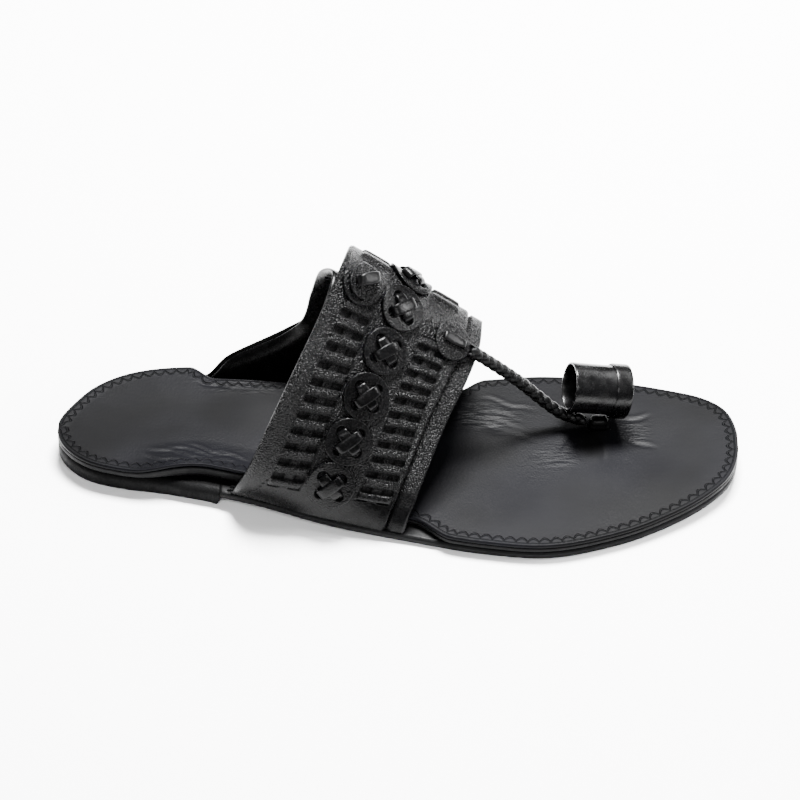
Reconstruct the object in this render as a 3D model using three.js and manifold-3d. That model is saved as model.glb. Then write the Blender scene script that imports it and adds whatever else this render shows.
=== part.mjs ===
// A right-foot leather sandal with an instep band, laced discs, a braided cord and a toe ring.
// Millimetres. +X runs to the toe, +Y to the inner (big toe) side, +Z up.
// The origin is on the floor under the middle of the heel.
import * as THREE from "three";
import { mergeVertices } from "three/addons/utils/BufferGeometryUtils.js";
import Module from "manifold-3d";

const wasm = await Module();
wasm.setup();

// Driving sizes
const SOLE_LENGTH = 290;
const HEEL_BACK = -50;
const JOINT_GAP = 0.3;
const INSOLE_THICK = 1.7;
const MIDSOLE_FORE = 2.0;
const MIDSOLE_HEEL = 2.6;
const OUTSOLE_THICK = 3.7;
const HEEL_RISE = 4.2;
const TOE_SPRING = 3.2;
const HEEL_BREAST = 0.245;
const WAIST_START = 0.25;
const TREAD_START = 0.56;
const TREAD_END = 0.8;

// Stations between which the sole's upper layers step in for the arch or curl up at the waist.
const ARCH_INSET = 7.4;
const ARCH_SPAN = {
  outer: { start: 0.12, full: 0.23, until: 0.525, end: 0.555 },
  inner: { start: 0.185, full: 0.21, until: 0.58, end: 0.61 },
};
const CURL_RISE = 3;
const CURL_WIDTH = 18;
const INSOLE_CURL = 1.3;
const CURL_SPAN = { start: 0.1, full: 0.2, until: 0.3, end: 0.5 };

const BAND_THICK = 1.8;
const LINING_THICK = 1.6;
const BAND_FRONT = 0.89;
const LINING_REAR = 0.015;
const RUNG_RISE = 0.7;
const RUNG_PITCH = 0.065;
const RUNG_FIRST = -0.85;
const RUNG_COUNT = 25;
const RUNG_HALF = 0.02;
const REAR_ROW = [0.1, 0.275];
const FRONT_ROW = [0.62, 0.8];
const CREST_CLEAR = 0.12;
const ROW_DRIFT = 0.058;
const SAG_END = 0.75;
const LINING_COLUMNS = 40;
const LINING_ROWS = 6;

const DISC_RADIUS = 10;
const DISC_THICK = 1.5;
const DISC_SIDES = 20;
const HOLE_SIDES = 8;
const CREST_RUN = -0.03;
const FRONT_DISC_RUN = -0.07;
const DISC_ROW = 0.44;
const DISC_SEAT = 0.5;
const DISC_HOLE_RADIUS = 2.2;
const DISC_HOLE_REACH = 5.4;
const THONG_WIDTH = 4.4;
const THONG_THICK = 1.1;

const REAR_DISC_ACROSS = 0.15;
const REAR_DISC_RADIUS = 9.5;
const REAR_BUTTON_RADIUS = 7.4;
const REAR_KNOT_REACH = 5;
const REAR_KNOT_RISE = 1.6;
const FRONT_DISC_ACROSS = 0.81;
const FRONT_DISC_RADIUS = 8.6;
const FRONT_BAR_REACH = 5.2;
const FRONT_BAR_RISE = 0.5;

const RING_RADIUS = 11;
const RING_WALL = 2;
const RING_LENGTH = 25;
const RING_CENTRE = new THREE.Vector3(179.4, 9.9, 25.4);
const RING_YAW = THREE.MathUtils.degToRad(10);
const RING_DROOP = THREE.MathUtils.degToRad(12.7);
const TRIM_LENGTH = 5.5;
const TRIM_THICK = 0.8;
const POST_BASE = new THREE.Vector2(181, 7);
const POST_HALF = new THREE.Vector2(4, 3);
const POST_HEIGHT = 4.2;
const RING_SIDES = 32;
const CORD_RADIUS = 2.4;
const CORD_RINGS = 24;
const CORD_TWISTS = 6;
const CORD_ROUTE = [
  new THREE.Vector3(145, 7.3, 32.5),
  new THREE.Vector3(164, 6.4, 15.2),
  new THREE.Vector3(174.2, 6.2, 11),
];

// Edge of the sole seen from above: station from heel (0) to toe (1), and the Y of each side.
const SOLE_EDGE = [
  { station: 0, inner: -5.6, outer: -5.6 },
  { station: 0.015, inner: 7.2, outer: -18.0 },
  { station: 0.05, inner: 21.3, outer: -26.8 },
  { station: 0.1, inner: 30.4, outer: -31.4 },
  { station: 0.17, inner: 34.7, outer: -34.6 },
  { station: 0.28, inner: 34.6, outer: -42.4 },
  { station: 0.4, inner: 32.8, outer: -53.3 },
  { station: 0.52, inner: 32.4, outer: -60.5 },
  { station: 0.62, inner: 35.0, outer: -66.7 },
  { station: 0.72, inner: 38.1, outer: -68.6 },
  { station: 0.82, inner: 35.4, outer: -60.2 },
  { station: 0.9, inner: 29.7, outer: -48.1 },
  { station: 0.955, inner: 23.1, outer: -36.1 },
  { station: 0.988, inner: 12.8, outer: -23.7 },
  { station: 1, inner: -5.6, outer: -5.6 },
];

// Rear and front edge of the instep arch. run goes over the foot from the outer rim of the sole (-1)
// over the instep (0) to the inner rim (1), and one unit of it is about 100 mm of leather.
const ARCH = [
  { run: -1, rx: 22, ry: -41.6, rz: 8.5, fx: 97, fy: -60.1, fz: 4.3 },
  { run: -0.93, rx: 27.5, ry: -45.1, rz: 15, fx: 99.5, fy: -57.6, fz: 10.5 },
  { run: -0.83, rx: 33, ry: -46.9, rz: 26, fx: 103, fy: -52.6, fz: 17 },
  { run: -0.72, rx: 38, ry: -45.6, rz: 38, fx: 107, fy: -45.1, fz: 24.5 },
  { run: -0.47, rx: 49.5, ry: -33.6, rz: 61, fx: 116, fy: -25.6, fz: 37.5 },
  { run: -0.22, rx: 62.5, ry: -12.6, rz: 81, fx: 124.5, fy: -7.6, fz: 45.5 },
  { run: 0, rx: 71.5, ry: 7.9, rz: 93, fx: 129.5, fy: 8.4, fz: 50 },
  { run: 0.18, rx: 74.5, ry: 27.4, rz: 88.5, fx: 130.5, fy: 23.4, fz: 51.5 },
  { run: 0.38, rx: 71, ry: 36.9, rz: 68, fx: 130, fy: 32.4, fz: 39 },
  { run: 0.58, rx: 63, ry: 38.9, rz: 46, fx: 127.5, fy: 35.4, fz: 23 },
  { run: 0.74, rx: 45, ry: 37.9, rz: 33, fx: 121, fy: 36.4, fz: 15.5 },
  { run: 0.88, rx: 23, ry: 35.9, rz: 21, fx: 116.5, fy: 35.4, fz: 9 },
  { run: 0.94, rx: 15.5, ry: 35.2, rz: 15.5, fx: 114.8, fy: 34.6, fz: 6.4 },
  { run: 1, rx: 8, ry: 34.4, rz: 8.8, fx: 113, fy: 33.4, fz: 4.2 },
];

// How far the lining's rear edge hangs back, sideways and down from the band's rear edge.
const LINING_SAG = [
  { run: -1, back: 0, side: 0, down: 0 },
  { run: -0.3, back: 0, side: 0, down: 0 },
  { run: 0, back: 3.5, side: 0, down: 3 },
  { run: 0.18, back: 13, side: 3.2, down: 9 },
  { run: 0.38, back: 14.5, side: 4.2, down: 8 },
  { run: 0.58, back: 11, side: 3, down: 4 },
  { run: 0.74, back: 3, side: 1.2, down: 1.5 },
  { run: 0.88, back: 0, side: 0, down: 0 },
  { run: 1, back: 0, side: 0, down: 0 },
];

// Places of the laced discs along the run.
const DISC_RUNS = {
  disc_outer_4: -0.825,
  disc_outer_3: -0.632,
  disc_outer_2: -0.44,
  disc_outer_1: -0.245,
  disc_crest: -0.042,
  disc_inner_1: 0.185,
  disc_inner_2: 0.41,
  disc_inner_3: 0.63,
};

const LEATHER = { color: 0x17181b, roughness: 0.42, metalness: 0 };
const GRAIN = { color: 0x1b1c1f, roughness: 0.5, metalness: 0 };
const EDGE = { color: 0x202226, roughness: 0.55, metalness: 0 };
const RUBBER = { color: 0x131416, roughness: 0.7, metalness: 0 };

const clamp01 = (value) => THREE.MathUtils.clamp(value, 0, 1);
const smooth = (from, to, value) => THREE.MathUtils.smoothstep(value, from, to);
const steps = (count, make) => Array.from({ length: count }, (_, i) => make(i));
const spread = (from, to, count) => steps(count + 1, (i) => from + ((to - from) * i) / count);
const flush = () => 0;

// A smooth curve through the rows of a table, with the tangents of its neighbours.
function readTable(rows, key, column, at) {
  let i = 0;
  while (i < rows.length - 2 && at > rows[i + 1][key]) i += 1;
  const slope = (k) => {
    const before = rows[Math.max(k - 1, 0)];
    const after = rows[Math.min(k + 1, rows.length - 1)];
    return (after[column] - before[column]) / (after[key] - before[key]);
  };
  const span = rows[i + 1][key] - rows[i][key];
  const t = (at - rows[i][key]) / span;
  const a = rows[i][column];
  const b = rows[i + 1][column];
  const m = slope(i) * span;
  const n = slope(i + 1) * span;
  const t2 = t * t;
  const t3 = t2 * t;
  return a * (2 * t3 - 3 * t2 + 1) + m * (t3 - 2 * t2 + t) + b * (3 * t2 - 2 * t3) + n * (t3 - t2);
}

// The sole's ends are round, so its table is read against the angle of a half circle.
const stationAngle = (station) => Math.acos(1 - 2 * clamp01(station));
const EDGE_BY_ANGLE = SOLE_EDGE.map((row) => ({ ...row, angle: stationAngle(row.station) }));
const edgeY = (station, side) => readTable(EDGE_BY_ANGLE, "angle", side, stationAngle(station));
const stationOf = (x) => (x - HEEL_BACK) / SOLE_LENGTH;
const xOf = (station) => HEEL_BACK + station * SOLE_LENGTH;

// Heights of the layers above the floor.
function outsoleBottom(station) {
  const heel = HEEL_RISE * (1 - smooth(WAIST_START, TREAD_START, station));
  const toe = Math.max(0, (station - TREAD_END) / (1 - TREAD_END));
  return heel + TOE_SPRING * toe * toe;
}
const outsoleTop = (station) => outsoleBottom(station) + OUTSOLE_THICK;
const midsoleBottom = (station) => outsoleTop(station) + JOINT_GAP;
function midsoleTop(station) {
  const heelward = 1 - smooth(WAIST_START, TREAD_START, station);
  return midsoleBottom(station) + MIDSOLE_FORE + (MIDSOLE_HEEL - MIDSOLE_FORE) * heelward;
}
const insoleBottom = (station) => midsoleTop(station) + JOINT_GAP;
const insoleTop = (station) => insoleBottom(station) + INSOLE_THICK;

// Inside the arch the insole and midsole step in, so that the leather passes outside them.
function spanShare(station, { start, full, until, end }) {
  return smooth(start, full, station) * (1 - smooth(until, end, station));
}
const archInset = (station, side) => ARCH_INSET * spanShare(station, ARCH_SPAN[side]);

// At the outer waist the midsole and insole curl up along their edge.
const waistCurl = (station) => CURL_RISE * spanShare(station, CURL_SPAN);
const insoleCurl = (station) => INSOLE_CURL * waistCurl(station);

function solidFrom(points, triangles) {
  const geometry = new THREE.BufferGeometry();
  geometry.setAttribute("position", new THREE.Float32BufferAttribute(points.flat(), 3));
  geometry.setIndex(triangles);
  return geometry;
}

// A closed solid through rings of equally many points, with flat ends.
function loft(rings) {
  const count = rings[0].length;
  const points = rings.flat();
  const triangles = [];
  for (let r = 0; r + 1 < rings.length; r += 1) {
    for (let k = 0; k < count; k += 1) {
      const a = r * count + k;
      const b = r * count + ((k + 1) % count);
      triangles.push(a, b, a + count, b, b + count, a + count);
    }
  }
  const last = (rings.length - 1) * count;
  for (let k = 1; k + 1 < count; k += 1) {
    triangles.push(0, k + 1, k);
    triangles.push(last, last + k, last + k + 1);
  }
  return solidFrom(points, triangles);
}

// A closed wall over a grid: place(column, row, side) gives the point on side 0 (inner) or 1 (outer).
function wall(columns, rows, place) {
  const points = [];
  const triangles = [];
  for (const side of [0, 1])
    for (const column of columns) for (const row of rows) points.push(place(column, row, side));
  const layer = columns.length * rows.length;
  const at = (c, r, side) => side * layer + c * rows.length + r;
  const quad = (a, b, c, d) => triangles.push(a, b, c, a, c, d);
  const lastColumn = columns.length - 1;
  const lastRow = rows.length - 1;
  for (let c = 0; c < lastColumn; c += 1) {
    for (let r = 0; r < lastRow; r += 1) {
      quad(at(c, r, 0), at(c + 1, r, 0), at(c + 1, r + 1, 0), at(c, r + 1, 0));
      quad(at(c, r, 1), at(c, r + 1, 1), at(c + 1, r + 1, 1), at(c + 1, r, 1));
    }
    quad(at(c, 0, 0), at(c, 0, 1), at(c + 1, 0, 1), at(c + 1, 0, 0));
    quad(at(c, lastRow, 0), at(c + 1, lastRow, 0), at(c + 1, lastRow, 1), at(c, lastRow, 1));
  }
  for (let r = 0; r < lastRow; r += 1) {
    quad(at(0, r, 0), at(0, r + 1, 0), at(0, r + 1, 1), at(0, r, 1));
    quad(at(lastColumn, r, 0), at(lastColumn, r, 1), at(lastColumn, r + 1, 1), at(lastColumn, r + 1, 0));
  }
  return solidFrom(points, triangles);
}

// One layer of the sole between two heights, with bevelled edges.
function soleLayer(layer) {
  const { to = 1, count, bottom, top, bevel } = layer;
  const { inset = flush, lowCurl = flush, highCurl = flush } = layer;
  const first = stationAngle(0.0015);
  const last = stationAngle(Math.min(to, 0.9985));
  const rings = spread(first, last, count).map((angle) => {
    const station = (1 - Math.cos(angle)) / 2;
    const x = xOf(station);
    const inner = edgeY(station, "inner") - inset(station, "inner");
    const outer = edgeY(station, "outer") + inset(station, "outer");
    const width = inner - outer;
    const slant = Math.min(bevel, width / 8);
    const flat = outer + Math.min(CURL_WIDTH, width / 2);
    const low = bottom(station);
    const high = top(station);
    const lowOuter = low + lowCurl(station);
    const highOuter = high + highCurl(station);
    return [
      [x, inner, low + slant],
      [x, inner, high - slant],
      [x, inner - slant, high],
      [x, flat, high],
      [x, outer + slant, highOuter],
      [x, outer, highOuter - slant],
      [x, outer, lowOuter + slant],
      [x, outer + slant, lowOuter],
      [x, flat, low],
      [x, inner - slant, low],
    ];
  });
  return loft(rings);
}

// The outer face of the arch. across goes from its rear edge (0) to its front edge (1).
function archFace(run, across) {
  const at = (axis) => {
    const rear = readTable(ARCH, "run", "r" + axis, run);
    const front = readTable(ARCH, "run", "f" + axis, run);
    return rear + (front - rear) * across;
  };
  const point = new THREE.Vector3(at("x"), at("y"), at("z"));
  const side = run < 0 ? "outer" : "inner";
  const rim = new THREE.Vector3(point.x, edgeY(stationOf(point.x), side), 0);
  rim.z = outsoleTop(stationOf(point.x)) + JOINT_GAP;
  return point.lerp(rim, smooth(0.88, 1, Math.abs(run)) ** 2);
}

// A point above the arch's outer face (rise > 0) or inside it (rise < 0), never below the sole's rim.
function archPoint(run, across, rise) {
  const step = 0.004;
  const low = THREE.MathUtils.clamp(run - step, -1, 1);
  const high = THREE.MathUtils.clamp(run + step, -1, 1);
  const over = archFace(high, across).sub(archFace(low, across));
  const along = archFace(run, across + step).sub(archFace(run, across - step));
  const normal = along.cross(over).normalize();
  const point = archFace(run, across).addScaledVector(normal, rise);
  point.z = Math.max(point.z, outsoleTop(stationOf(point.x)) + JOINT_GAP);
  return { point, normal };
}

// The lining's rear edge hangs behind and below the band's own on the instep's inner side.
function liningSag(run, across) {
  const share = Math.max(0, 1 - across / SAG_END) ** 1.3;
  const at = (column) => share * readTable(LINING_SAG, "run", column, run);
  return new THREE.Vector3(at("back"), at("side"), at("down")).negate();
}

function rungRise(run, across) {
  const inRow = ([from, to]) => across > from - 0.001 && across < to + 0.001;
  if (Math.abs(run) < CREST_CLEAR) return 0;
  if (!inRow(REAR_ROW) && !inRow(FRONT_ROW)) return 0;
  const place = (run - RUNG_FIRST) / RUNG_PITCH;
  const nearest = Math.round(place);
  if (nearest < 0 || nearest >= RUNG_COUNT) return 0;
  return Math.abs(place - nearest) * RUNG_PITCH < RUNG_HALF ? RUNG_RISE : 0;
}

// The woven rows and the discs drift forward towards the outer foot, between the band's fixed edges.
function rowPlace(run, across) {
  const within = smooth(0, 0.08, across) * (1 - smooth(0.82, BAND_FRONT, across));
  return across + ROW_DRIFT * within * (1 - smooth(-0.95, 0, run));
}

function bandColumns() {
  const columns = [-1, -0.97, -0.93];
  for (let i = 0; i < RUNG_COUNT; i += 1) {
    const middle = RUNG_FIRST + i * RUNG_PITCH;
    columns.push(middle - RUNG_PITCH / 2, middle - 0.9 * RUNG_HALF, middle + 0.9 * RUNG_HALF);
  }
  columns.push(0.75, 0.8, 0.85, 0.9, 0.95, 1);
  return columns;
}

function bandRows() {
  const ramp = 0.012;
  const rows = [0, 0.05];
  for (const [from, to] of [REAR_ROW, FRONT_ROW]) rows.push(from - ramp, from, to, to + ramp);
  rows.push(DISC_ROW, BAND_FRONT);
  return rows.sort((a, b) => a - b);
}

function instepBand() {
  return wall(bandColumns(), bandRows(), (run, across, side) => {
    const rise = side === 0 ? -BAND_THICK : rungRise(run, across);
    return archPoint(run, rowPlace(run, across), rise).point.toArray();
  });
}

function instepLining() {
  const outer = -BAND_THICK - JOINT_GAP;
  return wall(spread(-1, 1, LINING_COLUMNS), spread(0, 1, LINING_ROWS), (run, share, side) => {
    const across = LINING_REAR + (1 - LINING_REAR) * share;
    const rise = outer - (side === 0 ? LINING_THICK : 0);
    return archPoint(run, across, rise).point.add(liningSag(run, across)).toArray();
  });
}

// A frame that stands on the arch: its Z is the wall's normal and its Y runs from rear to front.
function archFrame(run, across, rise) {
  const { point, normal } = archPoint(run, across, rise);
  const forward = archFace(run, across + 0.02).sub(archFace(run, across - 0.02));
  const right = forward.clone().cross(normal).normalize();
  forward.copy(normal).cross(right);
  return new THREE.Matrix4().makeBasis(right, forward, normal).setPosition(point);
}

function discGeometry(radius, thick, holes) {
  const circle = (x, y, size, sides) =>
    steps(sides, (k) => {
      const angle = (2 * Math.PI * k) / sides;
      return new THREE.Vector2(x + size * Math.cos(angle), y + size * Math.sin(angle));
    });
  const shape = new THREE.Shape(circle(0, 0, radius, DISC_SIDES));
  for (const [x, y, size] of holes) {
    const edge = circle(x, y, size, HOLE_SIDES).reverse();
    shape.holes.push(new THREE.Path(edge));
  }
  return new THREE.ExtrudeGeometry(shape, { depth: thick, bevelEnabled: false });
}

// A flat strip bent over a disc from one hole to the opposite one, with its ends down in the holes.
function thongStrip(angle, reach, crown, floor) {
  const rings = [];
  for (const share of spread(-1, 1, 6)) {
    const along = share * reach;
    const height = floor + (crown - floor) * Math.sqrt(Math.max(0, 1 - share ** 4));
    const half = THONG_WIDTH / 2 - 0.9 * share * share;
    const place = (across, z) => [
      along * Math.cos(angle) - across * Math.sin(angle),
      along * Math.sin(angle) + across * Math.cos(angle),
      z,
    ];
    rings.push([
      place(-half, height),
      place(half, height),
      place(half, height + THONG_THICK),
      place(-half, height + THONG_THICK),
    ]);
  }
  return loft(rings);
}

function toManifold(geometry) {
  const clean = geometry.clone();
  clean.deleteAttribute("normal");
  clean.deleteAttribute("uv");
  const merged = mergeVertices(clean, 1e-4);
  const mesh = new wasm.Mesh({
    numProp: 3,
    vertProperties: new Float32Array(merged.attributes.position.array),
    triVerts: new Uint32Array(merged.index.array),
  });
  return new wasm.Manifold(mesh);
}

function fromManifold(solid) {
  const mesh = solid.getMesh();
  const geometry = new THREE.BufferGeometry();
  geometry.setAttribute("position", new THREE.BufferAttribute(mesh.vertProperties, 3));
  geometry.setIndex(new THREE.BufferAttribute(mesh.triVerts, 1));
  return geometry;
}

const part = new THREE.Group();

function addPiece(name, geometry, look, matrix = null) {
  const mesh = new THREE.Mesh(geometry, new THREE.MeshStandardMaterial(look));
  mesh.name = name;
  if (matrix) mesh.applyMatrix4(matrix);
  part.add(mesh);
}

function addSole() {
  const heelTop = () => HEEL_RISE - JOINT_GAP;
  const heel = { to: HEEL_BREAST, count: 22, bottom: flush, top: heelTop, bevel: 0.6 };
  const outsole = { count: 40, bottom: outsoleBottom, top: outsoleTop, bevel: 0.5 };
  const midsole = { count: 40, bottom: midsoleBottom, top: midsoleTop, bevel: 0.4 };
  const insole = { count: 40, bottom: insoleBottom, top: insoleTop, bevel: 0.5 };
  const midsoleCurl = { inset: archInset, highCurl: waistCurl };
  const topCurl = { inset: archInset, lowCurl: insoleCurl, highCurl: insoleCurl };
  addPiece("heel_block", soleLayer(heel), RUBBER);
  addPiece("outsole", soleLayer(outsole), EDGE);
  addPiece("midsole", soleLayer({ ...midsole, ...midsoleCurl }), EDGE);
  addPiece("insole", soleLayer({ ...insole, ...topCurl }), LEATHER);
}

function addUpper() {
  addPiece("instep_lining", instepLining(), LEATHER);
  addPiece("instep_band", instepBand(), GRAIN);
}

function addLacedDiscs() {
  const quarter = Math.PI / 2;
  const holes = [0, 1, 2, 3].map((k) => {
    const angle = quarter * (k + 0.5);
    return [DISC_HOLE_REACH * Math.cos(angle), DISC_HOLE_REACH * Math.sin(angle), DISC_HOLE_RADIUS];
  });
  const reach = DISC_HOLE_REACH + 0.9;
  const crown = DISC_THICK + 0.35;
  const under = toManifold(thongStrip(quarter / 2, reach, crown, 0.5));
  const over = toManifold(thongStrip(-quarter / 2, reach, crown + THONG_THICK * 0.8, 0.5));
  const crossing = under.add(over);
  for (const [name, run] of Object.entries(DISC_RUNS)) {
    const frame = archFrame(run, rowPlace(run, DISC_ROW), DISC_SEAT);
    addPiece(name, discGeometry(DISC_RADIUS, DISC_THICK, holes), GRAIN, frame);
    addPiece(name.replace("disc", "thong"), fromManifold(crossing), LEATHER, frame);
  }
}

// The rear disc carries a smaller button and a raised knot of thong.
function addRearDisc() {
  const frame = archFrame(CREST_RUN, REAR_DISC_ACROSS, JOINT_GAP);
  const lifted = (rise) => frame.clone().multiply(new THREE.Matrix4().makeTranslation(0, 0, rise));
  const layer = DISC_THICK + JOINT_GAP;
  const button = discGeometry(REAR_BUTTON_RADIUS, DISC_THICK, []);
  const knot = thongStrip(0, REAR_KNOT_REACH, REAR_KNOT_RISE, 0);
  addPiece("rear_disc", discGeometry(REAR_DISC_RADIUS, DISC_THICK, []), GRAIN, frame);
  addPiece("rear_button", button, GRAIN, lifted(layer));
  addPiece("rear_knot", knot, LEATHER, lifted(2 * layer));
}

// The front disc carries one bar of thong, set along the crest.
function addFrontDisc() {
  const frame = archFrame(FRONT_DISC_RUN, FRONT_DISC_ACROSS, JOINT_GAP);
  addPiece("front_disc", discGeometry(FRONT_DISC_RADIUS, DISC_THICK, []), GRAIN, frame);
  const lift = new THREE.Matrix4().makeTranslation(0, 0, DISC_THICK + JOINT_GAP);
  const bar = thongStrip(Math.PI / 2, FRONT_BAR_REACH, FRONT_BAR_RISE, 0);
  addPiece("front_bar", bar, LEATHER, frame.clone().multiply(lift));
}

// A tube about a straight or bent line of points: radiusAt(share, angle) gives its surface.
function tubeAlong(path, radiusAt, around) {
  const rings = path.map((point, i) => {
    const before = path[Math.max(i - 1, 0)];
    const after = path[Math.min(i + 1, path.length - 1)];
    const ahead = after.clone().sub(before).normalize();
    const sideways = new THREE.Vector3(0, 1, 0).addScaledVector(ahead, -ahead.y).normalize();
    const upward = sideways.clone().cross(ahead).negate();
    return steps(around, (k) => {
      const angle = (2 * Math.PI * k) / around;
      const radius = radiusAt(i / (path.length - 1), angle);
      return point
        .clone()
        .addScaledVector(sideways, radius * Math.cos(angle))
        .addScaledVector(upward, radius * Math.sin(angle))
        .toArray();
    });
  });
  return loft(rings);
}

// The braided cord runs from the front disc down to the post between the toes.
function cordPath() {
  const frame = archFrame(FRONT_DISC_RUN, FRONT_DISC_ACROSS, 0);
  const reach = FRONT_DISC_RADIUS + CORD_RADIUS + JOINT_GAP;
  const start = new THREE.Vector3(0, reach, CORD_RADIUS * 0.6).applyMatrix4(frame);
  return new THREE.CatmullRomCurve3([start, ...CORD_ROUTE]).getSpacedPoints(CORD_RINGS);
}

function addCord() {
  const plaitRadius = (share, angle) => {
    const wave = Math.cos(2 * angle) * Math.cos(2 * Math.PI * CORD_TWISTS * share);
    return CORD_RADIUS * (1 + 0.07 * wave);
  };
  const plait = tubeAlong(cordPath(), plaitRadius, 8);
  addPiece("toe_cord", plait, LEATHER);
}

// A ring wall about the toe's axis, which is the ring frame's X.
function ringWall(from, to, innerRadius, outerRadius) {
  const circle = (x, radius) =>
    steps(RING_SIDES, (k) => {
      const angle = (2 * Math.PI * k) / RING_SIDES;
      return [x, radius * Math.cos(angle), radius * Math.sin(angle)];
    });
  const full = toManifold(loft([circle(from, outerRadius), circle(to, outerRadius)]));
  const bore = toManifold(loft([circle(from - 1, innerRadius), circle(to + 1, innerRadius)]));
  return fromManifold(full.subtract(bore));
}

function addToeRing() {
  const turned = new THREE.Euler(0, RING_DROOP, RING_YAW, "ZYX");
  const frame = new THREE.Matrix4().makeRotationFromEuler(turned).setPosition(RING_CENTRE);
  const half = RING_LENGTH / 2;
  addPiece("toe_ring", ringWall(-half, half, RING_RADIUS - RING_WALL, RING_RADIUS), LEATHER, frame);
  const snug = RING_RADIUS + JOINT_GAP;
  addPiece("toe_ring_trim", ringWall(half - TRIM_LENGTH, half, snug, snug + TRIM_THICK), LEATHER, frame);
}

// The post is a short tab that comes up through the insole beside the ring.
function addPost() {
  const base = insoleTop(stationOf(POST_BASE.x)) + JOINT_GAP;
  const ring = (z, grow) => [
    [POST_BASE.x - POST_HALF.x * grow, POST_BASE.y - POST_HALF.y * grow, z],
    [POST_BASE.x + POST_HALF.x * grow, POST_BASE.y - POST_HALF.y * grow, z],
    [POST_BASE.x + POST_HALF.x * grow, POST_BASE.y + POST_HALF.y * grow, z],
    [POST_BASE.x - POST_HALF.x * grow, POST_BASE.y + POST_HALF.y * grow, z],
  ];
  const rings = [ring(base, 1), ring(base + POST_HEIGHT * 0.7, 0.9), ring(base + POST_HEIGHT, 0.6)];
  addPiece("toe_post", loft(rings), LEATHER);
}

addSole();
addUpper();
addLacedDiscs();
addRearDisc();
addFrontDisc();
addCord();
addToeRing();
addPost();

export default part;
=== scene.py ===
"""Looks of the right-foot toe-ring sandal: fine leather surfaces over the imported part's frame.

All sizes in the tables are millimetres in the part's own frame: +X to the toe, +Y to the inner side, +Z up.
"""

import math

import bpy
import numpy as np
from mathutils import Matrix, Vector, kdtree

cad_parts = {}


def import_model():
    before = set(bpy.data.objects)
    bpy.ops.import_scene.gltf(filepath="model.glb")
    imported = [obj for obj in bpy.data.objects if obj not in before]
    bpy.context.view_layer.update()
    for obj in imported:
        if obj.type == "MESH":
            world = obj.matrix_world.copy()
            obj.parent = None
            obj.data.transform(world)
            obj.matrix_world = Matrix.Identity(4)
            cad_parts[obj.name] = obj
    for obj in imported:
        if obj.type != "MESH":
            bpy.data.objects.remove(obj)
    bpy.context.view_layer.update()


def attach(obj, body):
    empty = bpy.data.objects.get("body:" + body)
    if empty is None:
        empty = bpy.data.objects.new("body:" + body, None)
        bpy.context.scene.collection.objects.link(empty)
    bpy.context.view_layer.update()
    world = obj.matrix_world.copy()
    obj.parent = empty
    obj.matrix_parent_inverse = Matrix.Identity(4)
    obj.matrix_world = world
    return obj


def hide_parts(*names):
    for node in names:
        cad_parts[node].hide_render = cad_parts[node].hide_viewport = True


MM = 0.001

# Sole layers, as in the part's solids
SOLE_LENGTH = 290.0
HEEL_BACK = -50.0
JOINT_GAP = 0.3
INSOLE_THICK = 1.7
MIDSOLE_FORE = 2.0
MIDSOLE_HEEL = 2.6
OUTSOLE_THICK = 3.7
HEEL_RISE = 4.2
TOE_SPRING = 3.2
HEEL_BREAST = 0.245
WAIST = (0.25, 0.56)
TREAD_END = 0.8
ARCH_INSET = 7.4
# The visible step under the arch starts and ends more softly than that of the solids
ARCH_SPAN = {"outer": (0.12, 0.23, 0.525, 0.58), "inner": (0.185, 0.225, 0.58, 0.63)}
CURL_RISE = 3.0
CURL_LOOK = 0.75
CURL_WIDTH = 18.0
CURL_SPAN = (0.1, 0.2, 0.3, 0.5)
INSOLE_CURL = 1.25
EDGE_ROUND = 0.3
EDGE_ROUND_WIDTH = 0.2
SIDE_STEPS = 9
INSOLE_STEPS = 100
BREAST_LEAN = 2.0

# Instep band and lining
BAND_THICK = 1.8
LINING_THICK = 1.6
BAND_FRONT = 0.89
LINING_REAR = 0.015
SAG_END = 0.75
ROW_MIDDLES = (0.1875, 0.71)
ROW_HALF = 6.6
RUNG_PITCH = 0.065
RUNG_FIRST = -0.85
RUNG_COUNT = 25
RUNG_HALF = 1.9
RUNG_RISE = 1.3
CREST_CLEAR = 0.12
ROW_DRIFT = 0.058
LACE_HALF = 2.1
NOTCH_DEPTH = 0.9
LACE_DEPTH = 0.15
CORNER_ROUND = 0.03
FOOT_START = 0.88

# Discs and thongs
CREST_RUN = -0.03
DISC_ROW = 0.44
DISC_RUNS = {
    "outer_4": -0.825,
    "outer_3": -0.632,
    "outer_2": -0.44,
    "outer_1": -0.245,
    "crest": -0.042,
    "inner_1": 0.185,
    "inner_2": 0.41,
    "inner_3": 0.63,
}
DISC_RADIUS = 10.0
DISC_THICK = 1.9
HOLE_RADIUS = 2.1
HOLE_REACH = 5.6
THONG_HALF = 2.5
THONG_THICK = 1.2
REAR_PLACE = (CREST_RUN, 0.15)
FRONT_PLACE = (-0.07, 0.81)
FRONT_DISC_RADIUS = 8.6
CREST_DISC_THICK = 1.6
REAR_DISC_RADIUS = 9.5
REAR_DISC_THICK = 1.5
BUTTON_RADIUS = 7.4
KNOT_TURN = math.radians(120)
KNOT_REACH = 5.0
BAR_REACH = 5.4
RIM_ROUND = 0.5

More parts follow.
